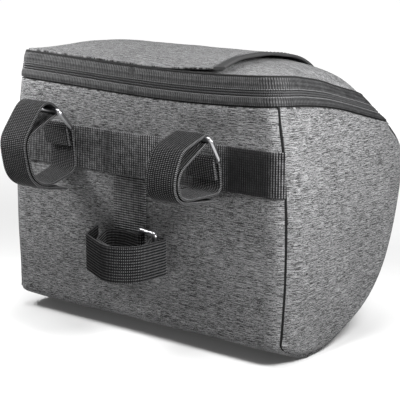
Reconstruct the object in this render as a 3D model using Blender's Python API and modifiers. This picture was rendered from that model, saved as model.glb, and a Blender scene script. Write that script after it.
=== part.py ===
"""Bicycle handlebar bag: a padded body with a zipped, crowned lid and three strap loops.

Units are metres and +Z is up. The origin is the middle of the flat base, on the floor.
+X is the bag's right as seen from the handlebar, and +Y points to the bag's front.
"""
from collections import namedtuple
from math import acos, atan2, cos, pi, radians, sin, sqrt

import bpy
import bmesh
from mathutils import Vector

# Body
BODY_WIDTH = 0.260
BODY_DEPTH = 0.154
BACK_HEIGHT = 0.173
BASE_SETBACK = 0.055
BASE_SAG = 0.010
BASE_SAG_START = 0.036
BACK_DIP = 0.0042
CORNER_RADIUS = 0.022
SEAM_ANGLE = radians(45.0)
WALL = 0.003
GAP = 0.0003
SEAM_GROOVE = 0.0010

# Zip band and lid; the two tapes lie between shares of the band's height
TAPE = 0.0016
LOWER_TAPE = (0.055, 0.485)
UPPER_TAPE = (0.515, 1.0)
LID_SIDE_LEAN = 0.012
LID_BACK_LEAN = 0.0015
LID_FRONT_LEAN = 0.016
LID_BACK_RADIUS = 0.014
LID_FRONT_RADIUS = 0.028
LID_CROWN = 0.021
LID_LEFT_FULLNESS = 14
LID_RIGHT_FULLNESS = 3.2
LID_HEM_COLUMN = 12
POCKET_EDGE = 0.077
POCKET_CLOTH = 0.0012
POCKET_SLACK = 0.0030
POCKET_REACH = 0.070
BINDING_WIDTH = 0.010
BINDING_TAPE = 0.0018
SLIDER_LENGTH = 0.012
SLIDER_DEPTH = 0.0035
SLIDER_HEIGHT = 0.009
SLIDER_EDGE = 0.0008

# Webbing and straps
WEBBING_WIDTH = 0.030
WEBBING = 0.0016
WEBBING_RAMP = 0.006
WEBBING_HEIGHT = 0.129
WEBBING_TAIL = 0.052
UPRIGHT_OFFSET = -0.0035
STRAP_WIDTH = 0.025
STRAP = 0.0016
RING_WIRE = 0.0030
RING_SIDE_ROOM = 0.0010
BAR_STRAP_SPACING = 0.133
BAR_STRAP_HEIGHT = 0.105
BAR_STRAP_STEP = 0.0075
STEM_STRAP_OFFSET = 0.003
STEM_STRAP_HEIGHT = 0.0635
LOOP_DEPTH = 0.0475
LOOP_RISE = 0.0570

# Side outline of the body, from the zip at the back, round the base and up to the zip at the front.
# depth is a share of BODY_DEPTH, height of BACK_HEIGHT and edge of CORNER_RADIUS.
Section = namedtuple("Section", "depth height edge")
OUTLINE = (
    Section(0.000, 1.000, 0.68),
    Section(0.000, 0.720, 0.68),
    Section(0.000, 0.430, 0.68),
    Section(0.000, 0.200, 0.64),
    Section(0.000, 0.095, 0.45),
    Section(0.020, 0.066, 0.32),
    Section(0.060, 0.048, 0.28),
    Section(0.117, 0.027, 0.28),
    Section(0.175, 0.009, 0.30),
    Section(0.234, 0.000, 0.34),
    Section(0.325, 0.001, 0.40),
    Section(0.430, 0.021, 0.45),
    Section(0.590, 0.081, 0.55),
    Section(0.708, 0.156, 0.64),
    Section(0.797, 0.240, 0.73),
    Section(0.858, 0.330, 0.82),
    Section(0.928, 0.480, 0.91),
    Section(0.986, 0.640, 1.00),
    Section(0.995, 0.735, 1.00),
    Section(0.974, 0.805, 1.00),
    Section(0.896, 0.867, 1.00),
)
BASE_SEAM_ROW = 9
SIDE_HEEL_ROW = 7
SIDE_TOE_ROW = 13
LAST_ROW = len(OUTLINE) - 1
ZIP_FRONT_DEPTH = OUTLINE[LAST_ROW].depth * BODY_DEPTH
LID_FRONT_DEPTH = ZIP_FRONT_DEPTH - LID_FRONT_LEAN
LID_WIDTH = BODY_WIDTH - 2 * LID_SIDE_LEAN

# Half width of the body against height, as shares of BACK_HEIGHT and of half BODY_WIDTH.
Waist = namedtuple("Waist", "height width")
WAIST = (
    Waist(0.00, 0.955),
    Waist(0.07, 0.965),
    Waist(0.17, 0.983),
    Waist(0.35, 1.000),
    Waist(0.55, 1.000),
    Waist(0.72, 0.990),
    Waist(0.84, 0.975),
    Waist(0.92, 0.957),
    Waist(1.00, 0.942),
    Waist(1.12, 0.910),
)

# The band's lower and upper edge against depth, as shares of BODY_DEPTH and BACK_HEIGHT.
Brim = namedtuple("Brim", "depth lower upper")
BRIM = (
    Brim(0.00, 1.000, 1.116),
    Brim(0.10, 0.994, 1.106),
    Brim(0.20, 0.986, 1.093),
    Brim(0.34, 0.970, 1.070),
    Brim(0.46, 0.950, 1.038),
    Brim(0.60, 0.918, 0.995),
    Brim(0.71, 0.893, 0.962),
    Brim(0.79, 0.877, 0.942),
    Brim(0.90, 0.867, 0.935),
)

# Strap loops, seen along the strap's width, as the circles that the strap bends round in turn.
# depth is a share of LOOP_DEPTH and rise of LOOP_RISE. out is a share of the loop's depth away from the
# sewn run, along a share of its rise from its low side to its ring side, and bend a share of STRAP_WIDTH.
# The legs are the ring's two long sides. The heel is where the sewn run leaves the panel.
Bend = namedtuple("Bend", "out along bend")
Loop = namedtuple("Loop", "name x z turned depth rise near_leg far_leg heel inner outer tip")
LOOPS = (
    Loop(name="left", x=-BAR_STRAP_SPACING / 2, z=BAR_STRAP_HEIGHT, turned=False, depth=1.0, rise=1.0,
         near_leg=(0.120, 0.665), far_leg=(0.385, 0.895), heel=(0.190, 0.20),
         inner=(Bend(0.560, 0.300, 0.68), Bend(0.745, 0.510, 0.42)),
         outer=(Bend(0.540, 0.860, 0.34), Bend(0.745, 0.510, 0.51), Bend(0.560, 0.300, 0.77)),
         tip=(0.190, -0.090)),
    Loop(name="right", x=BAR_STRAP_SPACING / 2, z=BAR_STRAP_HEIGHT + BAR_STRAP_STEP, turned=False,
         depth=0.926, rise=0.737,
         near_leg=(0.115, 0.530), far_leg=(0.330, 0.895), heel=(0.100, 0.16),
         inner=(Bend(0.780, 0.210, 0.34), Bend(0.775, 0.325, 0.34)),
         outer=(Bend(0.725, 0.610, 0.32), Bend(0.775, 0.325, 0.43), Bend(0.780, 0.210, 0.43)),
         tip=(0.060, -0.120)),
    Loop(name="stem", x=STEM_STRAP_OFFSET, z=STEM_STRAP_HEIGHT, turned=True, depth=0.937, rise=1.228,
         near_leg=(0.055, 0.100), far_leg=(0.150, 0.350), heel=(-0.243, 0.20),
         inner=(Bend(0.550, -0.005, 0.36), Bend(0.635, 0.260, 0.56)),
         outer=(Bend(0.210, 0.405, 0.24), Bend(0.655, 0.255, 0.68), Bend(0.490, -0.185, 0.36)),
         tip=(0.010, -0.510)),
)


def reset_scene():
    """Removes the objects of the scene that Blender opens with."""
    for old in list(bpy.data.objects):
        bpy.data.objects.remove(old, do_unlink=True)


def spline_at(rows, t):
    """Point on the Catmull-Rom curve through the rows, with t counted in rows."""
    last = len(rows) - 1
    i = min(int(t), last - 1)
    f = t - i
    a, b, c, d = (rows[min(max(i + k, 0), last)] for k in (-1, 0, 1, 2))
    return tuple(0.5 * (2 * q + (r - p) * f + (2 * p - 5 * q + 4 * r - s) * f ** 2
                        + (3 * q - p - 3 * r + s) * f ** 3) for p, q, r, s in zip(a, b, c, d))


def graph_at(rows, x, column):
    """Value of a column at x, on a smooth curve through rows whose first column rises."""
    last = len(rows) - 1
    x = min(max(x, rows[0][0]), rows[last][0])
    i = max(k for k in range(last) if rows[k][0] <= x)

    def slope(k):
        low, high = rows[max(k - 1, 0)], rows[min(k + 1, last)]
        return (high[column] - low[column]) / (high[0] - low[0])

    span = rows[i + 1][0] - rows[i][0]
    f = (x - rows[i][0]) / span
    rise = rows[i + 1][column] - rows[i][column]
    lead, trail = slope(i) * span - rise, rise - slope(i + 1) * span
    return rows[i][column] + f * rise + f * (1 - f) * (lead * (1 - f) + trail * f)


def half_width(z):
    """Half of the body's width at a height."""
    return graph_at(WAIST, z / BACK_HEIGHT, 1) * BODY_WIDTH / 2


def brim_height(y, level):
    """Height of the zip band at depth y; level 0 is its lower edge and 1 its upper edge."""
    lower = graph_at(BRIM, y / BODY_DEPTH, 1) * BACK_HEIGHT
    upper = graph_at(BRIM, y / BODY_DEPTH, 2) * BACK_HEIGHT
    return lower + (upper - lower) * level


def back_dip(x, y):
    """How far the rim sinks along the back, most on the right of its middle."""
    share = min(max(x / BODY_WIDTH + 0.5, 0.0), 1.0)
    return BACK_DIP * sin(pi * share ** 1.5) * max(0.0, 1 - y / CORNER_RADIUS)


def outline_rows(first, last, steps):
    """Side outline between two table rows: point, outward normal and edge radius."""
    def place(t):
        depth, height, edge = spline_at(OUTLINE, min(max(t, 0.0), float(LAST_ROW)))
        return Vector((max(depth, 0.0) * BODY_DEPTH, max(height, 0.0) * BACK_HEIGHT)), edge * CORNER_RADIUS

    rows = []
    count = (last - first) * steps
    for k in range(count + 1):
        t = first + k / steps
        point, edge = place(t)
        tangent = place(t + 0.2)[0] - place(t - 0.2)[0]
        normal = Vector((tangent.y, -tangent.x)).normalized()
        level = max(0.0, (t - LAST_ROW + 2) / 2)
        rows.append((point, normal.lerp(Vector((1.0, 0.0)), level).normalized(), edge))
    return rows


def edge_point(row, angle, inset=0.0):
    """Point on the rounded edge between the wrap and a side: angle 0 is the wrap, 90 degrees the side."""
    point, normal, edge = row
    spot = point - normal * (inset + (edge - inset) * (1 - cos(angle)))
    return Vector((half_width(spot.y) - edge + (edge - inset) * sin(angle), spot.x, spot.y))


def side_x(y, z, inset):
    """Distance from the middle plane to a side panel's outer face, or its inner one at an inset."""
    spot = Vector((y, z))
    near, edge = min(((spot - point).dot(-normal) if abs((spot - point).cross(normal)) < WALL
                      else (spot - point).length, edge) for point, normal, edge in FINE_OUTLINE)
    short = max(0.0, edge - near)
    return half_width(z) - edge + sqrt(max((edge - inset) ** 2 - short ** 2, 0.0))


FINE_OUTLINE = outline_rows(0, LAST_ROW, 6)
SEAM_POINT = outline_rows(BASE_SEAM_ROW, BASE_SEAM_ROW, 1)[0][0]


def make_material(name, colour, roughness, metallic=0.0):
    """Plain material of one colour."""
    material = bpy.data.materials.new(name)
    material.use_nodes = True
    shader = material.node_tree.nodes["Principled BSDF"]
    shader.inputs["Base Color"].default_value = (*colour, 1.0)
    shader.inputs["Roughness"].default_value = roughness
    shader.inputs["Metallic"].default_value = metallic
    material.diffuse_color = (*colour, 1.0)
    return material


def add_object(name, data, material):
    """Adds an object to the bag."""
    part = bpy.data.objects.new(name, data)
    part.data.materials.append(material)
    bag_collection.objects.link(part)
    part.parent = bag_frame
    return part


def add_sheet(name, grid, thickness, material):
    """Strip made from a grid of points on its middle surface."""
    mesh = bmesh.new()
    rows = [[mesh.verts.new(point) for point in line] for line in grid]
    for low, high in zip(rows, rows[1:]):
        for k in range(len(low) - 1):
            mesh.faces.new((low[k], low[k + 1], high[k + 1], high[k]))
    data = bpy.data.meshes.new(name)
    mesh.to_mesh(data)
    mesh.free()
    data.shade_smooth()
    sheet = add_object(name, data, material)
    solid = sheet.modifiers.new("wall", "SOLIDIFY")
    solid.thickness = thickness
    solid.offset = 0.0
    solid.use_even_offset = True
    return sheet


def add_shell(name, outer, inner, material):
    """Solid between two grids of points, the outer face and the inner one."""
    mesh = bmesh.new()
    skins = [[[mesh.verts.new(point) for point in line] for line in grid] for grid in (outer, inner)]
    rows, columns = len(outer), len(outer[0])
    for skin, order in zip(skins, (1, -1)):
        for low, high in zip(skin, skin[1:]):
            for k in range(columns - 1):
                mesh.faces.new((low[k], low[k + 1], high[k + 1], high[k])[::order])
    rim = [(0, k) for k in range(columns)] + [(k, columns - 1) for k in range(1, rows)]
    rim += [(rows - 1, k) for k in range(columns - 2, -1, -1)] + [(k, 0) for k in range(rows - 2, 0, -1)]
    out, back = skins
    for (i, j), (m, n) in zip(rim, rim[1:] + rim[:1]):
        mesh.faces.new((out[m][n], out[i][j], back[i][j], back[m][n]))
    data = bpy.data.meshes.new(name)
    mesh.to_mesh(data)
    mesh.free()
    data.shade_smooth()
    data.set_sharp_from_angle(angle=radians(50))
    return add_object(name, data, material)


def add_ring(name, loops, material):
    """Solid ring made from loops of points, each loop closed and the last one joined to the first."""
    mesh = bmesh.new()
    rows = [[mesh.verts.new(point) for point in loop] for loop in loops]
    count = len(rows[0])
    for low, high in zip(rows, rows[1:] + rows[:1]):
        for k in range(count):
            n = (k + 1) % count
            mesh.faces.new((low[k], low[n], high[n], high[k]))
    data = bpy.data.meshes.new(name)
    mesh.to_mesh(data)
    mesh.free()
    data.shade_smooth()
    data.set_sharp_from_angle(angle=radians(40))
    return add_object(name, data, material)


def wrap_line(row, sag, at_zip, inset):
    """One line of the wrap panel across the bag, from the left seam to the right."""
    point, normal, edge = row
    turn = SEAM_ANGLE - SEAM_GROOVE / 2 / edge
    line = [edge_point(row, angle, inset) for angle in (turn, turn * 0.8, turn * 0.4)]
    flat = half_width(point.y) - edge
    spot = point - normal * inset
    line += [Vector((flat * (1 - k / 4), spot.x, spot.y)) for k in range(5)]
    for spot in line:
        settling = sag * (1 - (spot.x / line[0].x) ** 4) * max(0.0, 1 - 2 * spot.z / BACK_HEIGHT)
        if at_zip:
            spot.z = brim_height(spot.y, 0)
        else:
            spot.z = max(inset, spot.z - settling)
        spot.z -= back_dip(spot.x, spot.y) * (spot.z / BACK_HEIGHT) ** 8
    left = [Vector((-spot.x, spot.y, spot.z)) for spot in line[:-1]]
    return line + left[::-1]


def make_wrap(name, first, last, material):
    """Back or front panel of the wrap round the body; they meet at a seam under the base."""
    skins = []
    for inset in (0.0, WALL):
        grid = []
        for row in outline_rows(first, last, 2):
            point, normal, edge = row
            along = Vector((-normal.y, normal.x)) * GAP
            at_zip = point in (FINE_OUTLINE[0][0], FINE_OUTLINE[-1][0])
            if point == SEAM_POINT:
                point = point + (along if first else -along)
            beyond = (point.x - BASE_SAG_START) / BASE_SAG_START
            sag = BASE_SAG * min(1.0, max(0.0, beyond * 2)) if first else 0.0
            grid.append(wrap_line((point, normal, edge), sag, at_zip, inset))
        skins.append(grid)
    return add_shell(name, *skins, material)


def share_lengths(points):
    """Share of a polyline's length that lies before each of its points."""
    lengths = [0.0]
    for p, q in zip(points, points[1:]):
        lengths.append(lengths[-1] + (q - p).length)
    return [length / lengths[-1] for length in lengths]


def between(values, t):
    """Value at a place counted in steps along a list."""
    i = min(int(t), len(values) - 2)
    return values[i] + (values[i + 1] - values[i]) * (t - i)


def make_side(name, side, material):
    """D-shaped side panel, a patch between its back, base and front seams and the zip."""
    skins = []
    for inset in (0.0, WALL):
        seams = []
        for first, end in ((0, SIDE_HEEL_ROW), (SIDE_HEEL_ROW, SIDE_TOE_ROW), (SIDE_TOE_ROW, LAST_ROW)):
            seams.append([edge_point(row, SEAM_ANGLE + SEAM_GROOVE / 2 / row[2], inset)
                          for row in outline_rows(first, end, 2)])
        back, base, front = seams[0], seams[1], seams[2][::-1]
        for seam in (back, front):
            seam[0].z = brim_height(seam[0].y, 0)
        across, down = share_lengths(base), share_lengths(front)
        columns, rows = len(base) - 1, len(back) - 1
        grid = []
        for v in [*range(rows), rows - 0.5, rows - 0.2, rows]:
            line = []
            for u in [0, 0.4, *range(1, columns), columns - 0.5, columns - 0.2, columns]:
                left, right, foot = between(back, v), between(front, v), between(base, u)
                fu, fv = between(across, u), between(down, v)
                y_top = back[0].y + (front[0].y - back[0].y) * fu
                top = Vector((0.0, y_top, brim_height(y_top, 0)))
                spot = left * (1 - fu) + right * fu + top * (1 - fv) + foot * fv
                spot -= (back[0] * (1 - fu) + front[0] * fu) * (1 - fv)
                spot -= (back[-1] * (1 - fu) + front[-1] * fu) * fv
                spot.x = side_x(spot.y, spot.z, inset)
                for edge, seam_spot in ((u == 0, left), (u == columns, right), (v == rows, foot)):
                    if edge:
                        spot = seam_spot.copy()
                spot.x *= side
                line.append(spot)
            grid.append(line if side < 0 else line[::-1])
        skins.append(grid)
    return add_shell(name, *skins, material)


def rim_loop(level, inset):
    """Plan of the zip band at a level from 0, its lower edge, to 1, its upper edge."""
    back_radius = OUTLINE[0].edge * CORNER_RADIUS * (1 - level) + LID_BACK_RADIUS * level - inset
    front_radius = CORNER_RADIUS * (1 - level) + LID_FRONT_RADIUS * level - inset
    y_back = LID_BACK_LEAN * level + inset
    y_front = ZIP_FRONT_DEPTH * (1 - level) + LID_FRONT_DEPTH * level - inset

    def half_at(y):
        return half_width(brim_height(y, 0)) * (1 - level) + LID_WIDTH / 2 * level - inset

    quarter = []
    for k in range(5):
        quarter.append(((half_at(0) - back_radius) * k / 4, y_back))
    for k in range(1, 6):
        turn = pi / 2 * k / 5
        y = y_back + back_radius * (1 - cos(turn))
        quarter.append((half_at(y) - back_radius * (1 - sin(turn)), y))
    span = y_front - front_radius - y_back - back_radius
    for k in range(1, 9):
        y = y_back + back_radius + span * k / 8
        quarter.append((half_at(y), y))
    for k in range(1, 7):
        turn = pi / 2 * k / 6
        y = y_front - front_radius * (1 - sin(turn))
        quarter.append((half_at(y) - front_radius * (1 - cos(turn)), y))
    for k in range(1, 5):
        quarter.append(((half_at(y_front) - front_radius) * (1 - k / 4), y_front))
    loop = quarter + [(-x, y) for x, y in quarter[-2:0:-1]]
    return [Vector((x, y, brim_height(y, level) - back_dip(x, y))) for x, y in loop]


def make_tape(name, levels, material):
    """Half of the zip band, a ring between two levels."""
    low_level, high_level = levels
    sections = ((low_level, 0.0), (high_level, 0.0), (high_level, TAPE), (low_level, TAPE))
    return add_ring(name, [rim_loop(level, inset) for level, inset in sections], material)


def lid_points():
    """Grid of the lid's outer face, with lines along the pocket's hem and its open edge."""
    inset = TAPE + GAP
    y_back, y_front = LID_BACK_LEAN + inset, LID_FRONT_DEPTH - inset
    back, front = LID_BACK_RADIUS - inset, LID_FRONT_RADIUS - inset
    half = LID_WIDTH / 2 - inset
    lines = []
    for k in range(4):
        turn = pi / 2 * k / 4
        lines.append((y_back + back * (1 - cos(turn)), half - back * (1 - sin(turn))))
    for k in range(7):
        lines.append((y_back + back + (y_front - front - y_back - back) * k / 6, half))
    for k in range(1, 5):
        turn = pi / 2 * k / 4
        lines.append((y_front - front * (1 - sin(turn)), half - front * (1 - cos(turn))))
    hem = POCKET_EDGE - BINDING_WIDTH
    grid = []
    for y, side in lines:
        xs = [-side + (hem + side) * (1 - cos(pi / 2 * k / LID_HEM_COLUMN)) for k in range(LID_HEM_COLUMN)]
        xs += [hem, POCKET_EDGE - BINDING_WIDTH / 2]
        xs += [POCKET_EDGE + (side - POCKET_EDGE) * sin(pi / 2 * k / 5) for k in range(6)]
        grid.append([Vector((x, y, lid_height(x, y, side))) for x in xs])
    return grid


def lid_height(x, y, half):
    """Height of the crowned lid's outer face, fuller over the pocket."""
    v = min(max((y - LID_BACK_LEAN) / (LID_FRONT_DEPTH - LID_BACK_LEAN), 0.0), 1.0)
    fullness = LID_LEFT_FULLNESS if x < 0 else LID_RIGHT_FULLNESS
    crown = max(sin(pi * v ** 2.1), 0.0) ** (0.7 + 0.3 * v ** 4) * (1 - min(abs(x / half), 1.0) ** fullness)
    return brim_height(y, 1) - back_dip(x, y) + LID_CROWN * crown


def surface_normals(grid):
    """Unit normal at each point of a grid."""
    last_row, last_column = len(grid) - 1, len(grid[0]) - 1
    normals = []
    for i in range(last_row + 1):
        line = []
        for j in range(last_column + 1):
            across = grid[i][min(j + 1, last_column)] - grid[i][max(j - 1, 0)]
            along = grid[min(i + 1, last_row)][j] - grid[max(i - 1, 0)][j]
            line.append(across.cross(along).normalized())
        normals.append(line)
    return normals


def pocket_lift(x, y):
    """How far the pocket's outer face stands off the lid, most at its mouth."""
    near = max(0.0, 1 - (POCKET_EDGE - x) / POCKET_REACH)
    v = min(max(y / LID_FRONT_DEPTH, 0.0), 1.0)
    cloth = POCKET_CLOTH + (BINDING_TAPE - POCKET_CLOTH) * near
    return 2 * GAP + cloth + POCKET_SLACK * near ** 2 * sin(pi * v ** 0.6)


def make_lid(name, points, normals, material):
    """Crowned lid panel inside the zip band."""
    inner = [[point - normal * WALL for point, normal in zip(line, turned)]
             for line, turned in zip(points, normals)]
    return add_shell(name, points, inner, material)


def make_layer(name, points, normals, columns, thickness, material):
    """Layer over the lid, between two of its columns, that lifts towards the pocket's open edge."""
    last = len(points) - 1
    skins = []
    for inset in (0.0, thickness):
        grid = []
        for i in [0.4, *range(1, last), last - 0.4]:
            line = []
            for j in columns:
                point, normal = (between([between(row, j) for row in rows[int(i):int(i) + 2]], i - int(i))
                                 for rows in (points, normals))
                line.append(point + normal.normalized() * (pocket_lift(point.x, point.y) - inset))
            grid.append(line)
        skins.append(grid)
    return add_shell(name, *skins, material)


def make_slider(name, material):
    """Plain slider on the zip, in the middle of the front."""
    low, high = rim_loop(0, 0.0), rim_loop(1, 0.0)
    front = max(range(len(low)), key=lambda k: (low[k].y, -abs(low[k].x)))
    middle = low[front].lerp(high[front], 0.5)
    slope = (high[front] - low[front]).normalized()
    mesh = bmesh.new()
    bmesh.ops.create_cube(mesh, size=1.0)
    bmesh.ops.scale(mesh, vec=(SLIDER_LENGTH, SLIDER_DEPTH, SLIDER_HEIGHT), verts=mesh.verts)
    data = bpy.data.meshes.new(name)
    mesh.to_mesh(data)
    mesh.free()
    slider = add_object(name, data, material)
    outward = Vector((0.0, slope.z, -slope.y))
    slider.location = middle + outward * (SLIDER_DEPTH / 2 + GAP)
    slider.location.x = 0.0
    slider.rotation_euler.x = Vector((0.0, 0.0, 1.0)).angle(slope)
    edges = slider.modifiers.new("edges", "BEVEL")
    edges.width = SLIDER_EDGE
    edges.segments = 2
    return slider


def strip_grid(path, width):
    """Grid of a strip that follows a path of (out, along) points."""
    return [[Vector((side * width / 2, -out, along)) for side in (1, -1)] for out, along in path]


def webbing_line(z):
    """Crosswise webbing in plan: it steps over the upright one and turns into the seams."""
    edge = OUTLINE[1].edge * CORNER_RADIUS
    flat = half_width(z) - edge
    low = GAP + WEBBING / 2
    high = low + WEBBING + GAP
    step = WEBBING_WIDTH / 2 + GAP
    crossing = [(UPRIGHT_OFFSET + side * (step + ramp), out)
                for side, ramp, out in ((-1, WEBBING_RAMP, low), (-1, 0.0, high), (1, 0.0, high),
                                        (1, WEBBING_RAMP, low))]
    turn_in = [(flat + (edge + low) * sin(turn), (edge + low) * cos(turn) - edge)
               for turn in (SEAM_ANGLE * k / 4 for k in range(5))]
    return [(-x, out) for x, out in reversed(turn_in)] + crossing + turn_in


def make_webbing(material):
    """Crosswise webbing between the side seams, and the upright one that hangs under it."""
    edges = [[(x, -out, z) for x, out in webbing_line(z)]
             for z in (WEBBING_HEIGHT - WEBBING_WIDTH / 2, WEBBING_HEIGHT + WEBBING_WIDTH / 2)]
    add_sheet("webbing_crosswise", list(zip(*edges)), WEBBING, material)
    upright = [(GAP + WEBBING / 2, z) for z in (WEBBING_TAIL, WEBBING_HEIGHT + WEBBING_WIDTH / 2)]
    hanging = add_sheet("webbing_upright", strip_grid(upright, WEBBING_WIDTH), WEBBING, material)
    hanging.location.x = UPRIGHT_OFFSET


def belt_path(bends):
    """Strap laid round circles of (centre, radius); a negative radius turns it the other way."""
    touches = []
    for (start, r0), (end, r1) in zip(bends, bends[1:]):
        way = end - start
        side = atan2(way.y, way.x) + acos((r1 - r0) / way.length)
        left = Vector((cos(side), sin(side)))
        touches.append((start - left * r0, end - left * r1))
    path = [touches[0][0]]
    for (centre, radius), (_, arrive), (leave, _) in zip(bends[1:], touches, touches[1:]):
        a, b = arrive - centre, leave - centre
        sweep = (atan2(b.y, b.x) - atan2(a.y, a.x)) % (2 * pi)
        if radius < 0:
            sweep -= 2 * pi
        steps = max(1, round(abs(sweep) / radians(20)))
        for k in range(steps + 1):
            c, s = cos(sweep * k / steps), sin(sweep * k / steps)
            path.append(centre + Vector((a.x * c - a.y * s, a.x * s + a.y * c)))
    path.append(touches[-1][1])
    return path


def strap_path(loop):
    """Strap from its sewn end round the near leg, round the loop, over the far leg and back."""
    run = GAP + WEBBING + GAP + STRAP / 2
    fold = RING_WIRE / 2 + GAP + STRAP / 2

    def place(out, along):
        return Vector((run + out * loop.depth * LOOP_DEPTH, along * loop.rise * LOOP_RISE))

    near, far = place(*loop.near_leg), place(*loop.far_leg)
    heel_along, heel_bend = loop.heel
    heel = heel_bend * STRAP_WIDTH
    bends = [(Vector((near.x - fold + STRAP + 2 * GAP, near.y - STRAP_WIDTH / 2)), 0.0), (near, fold),
             (Vector((run + heel, heel_along * loop.rise * LOOP_RISE)), heel)]
    bends += [(place(row.out, row.along), row.bend * STRAP_WIDTH) for row in loop.inner]
    bends += [(far, -fold)]
    bends += [(place(row.out, row.along), -row.bend * STRAP_WIDTH) for row in loop.outer]
    bends += [(place(*loop.tip), 0.0)]
    return belt_path(bends), near, far


def make_strap(loop, strap_material, ring_material):
    """One strap loop and the wire ring that it closes through."""
    path, near, far = strap_path(loop)
    strap = add_sheet("strap_" + loop.name, strip_grid(path, STRAP_WIDTH), STRAP, strap_material)
    half_long = STRAP_WIDTH / 2 + RING_SIDE_ROOM + RING_WIRE / 2
    half_high = (far - near).length / 2
    bend = RING_SIDE_ROOM + RING_WIRE / 2
    middle, rise = (near + far) / 2, (far - near).normalized()
    spline_points = []
    for sx, sy, start in ((1, 1, 0), (-1, 1, 1), (-1, -1, 2), (1, -1, 3)):
        for k in range(4):
            turn = (start + k / 3) * pi / 2
            u = sx * (half_long - bend) + bend * cos(turn)
            v = sy * (half_high - bend) + bend * sin(turn)
            spot = middle + rise * v
            spline_points.append((u, -spot.x, spot.y))
    curve = bpy.data.curves.new("ring_" + loop.name, "CURVE")
    curve.dimensions = "3D"
    curve.bevel_depth = RING_WIRE / 2
    curve.bevel_resolution = 2
    curve.resolution_u = 1
    spline = curve.splines.new("POLY")
    spline.use_cyclic_u = True
    spline.points.add(len(spline_points) - 1)
    for point, spot in zip(spline.points, spline_points):
        point.co = (*spot, 1.0)
    ring = add_object("ring_" + loop.name, curve, ring_material)
    for piece in (strap, ring):
        piece.location = (loop.x, 0.0, loop.z)
        piece.rotation_euler.y = pi / 2 if loop.turned else 0.0


reset_scene()
bag_collection = bpy.data.collections.new("handlebar_bag")
bpy.context.scene.collection.children.link(bag_collection)
bag_frame = bpy.data.objects.new("bag_frame", None)
bag_frame.location.y = -BASE_SETBACK
bag_collection.objects.link(bag_frame)

melange = make_material("melange_cloth", (0.16, 0.16, 0.165), 0.85)
zip_black = make_material("zip_tape", (0.035, 0.035, 0.037), 0.7)
binding_black = make_material("binding_tape", (0.030, 0.030, 0.032), 0.6)
webbing_black = make_material("black_webbing", (0.018, 0.018, 0.019), 0.7)
bright_steel = make_material("bright_steel", (0.78, 0.78, 0.78), 0.2, 1.0)

make_wrap("back_panel", 0, BASE_SEAM_ROW, melange)
make_wrap("front_panel", BASE_SEAM_ROW, LAST_ROW, melange)
make_side("side_panel_left", -1, melange)
make_side("side_panel_right", 1, melange)
make_tape("zip_tape_lower", LOWER_TAPE, zip_black)
make_tape("zip_tape_upper", UPPER_TAPE, zip_black)
make_slider("zip_slider", bright_steel)
lid_grid = lid_points()
lid_normals = surface_normals(lid_grid)
make_lid("lid_panel", lid_grid, lid_normals, melange)
make_layer("lid_pocket", lid_grid, lid_normals, [0.4, *range(1, LID_HEM_COLUMN), LID_HEM_COLUMN - 0.05],
           POCKET_CLOTH, melange)
make_layer("pocket_binding", lid_grid, lid_normals, [LID_HEM_COLUMN + k for k in range(3)],
           BINDING_TAPE, binding_black)
make_webbing(webbing_black)
for strap_loop in LOOPS:
    make_strap(strap_loop, webbing_black, bright_steel)
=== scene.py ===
"""Looks of a bicycle handlebar bag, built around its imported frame.

Sizes are metres. Shapes are worked out with y counted from the back panel's plane, as the pattern is cut,
and place() moves them to the frame. +X is the bag's right seen from the handlebar and +Y its front.
"""
from collections import namedtuple
from math import acos, atan2, cos, exp, pi, radians, sin, sqrt

import bmesh
import bpy
from bpy.props import FloatProperty, FloatVectorProperty, PointerProperty
from mathutils import Matrix, Vector, noise


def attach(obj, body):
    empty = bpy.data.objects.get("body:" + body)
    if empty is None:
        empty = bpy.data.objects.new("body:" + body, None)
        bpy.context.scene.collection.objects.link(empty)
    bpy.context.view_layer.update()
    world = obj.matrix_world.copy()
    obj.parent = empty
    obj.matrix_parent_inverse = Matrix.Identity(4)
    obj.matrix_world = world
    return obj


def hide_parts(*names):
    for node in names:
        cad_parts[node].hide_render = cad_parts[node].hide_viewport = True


bl_info = {
    "name": "Bicycle handlebar bag",
    "version": (1, 0, 0),
    "blender": (4, 5, 0),
    "location": "3D View > Sidebar > Handlebar bag",
    "description": "Cloth, zip, webbing and straps of a padded handlebar bag",
    "category": "Object",
}

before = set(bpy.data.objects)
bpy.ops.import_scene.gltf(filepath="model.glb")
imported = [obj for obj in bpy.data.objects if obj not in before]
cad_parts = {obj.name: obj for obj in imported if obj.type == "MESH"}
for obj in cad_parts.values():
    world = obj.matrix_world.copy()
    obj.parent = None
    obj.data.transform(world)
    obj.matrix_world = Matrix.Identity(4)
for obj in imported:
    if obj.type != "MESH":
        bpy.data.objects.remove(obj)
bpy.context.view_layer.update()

# Body, as the solids have it
BACK_PLANE = -0.055
BODY_WIDTH = 0.260
BODY_DEPTH = 0.154
BACK_HEIGHT = 0.173
BASE_SAG = 0.010
BASE_SAG_START = 0.036
BACK_DIP = 0.0042
FOOT_HEIGHT = 0.080
FOOT_SHIFT = 0.0015
SIDE_SHIFT = 0.0015
RIM_TILT = 0.0025
CORNER_RADIUS = 0.022
SEAM_ANGLE = radians(45.0)
SEAM_GROOVE = 0.0012
WALL = 0.003
GAP = 0.0003

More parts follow.
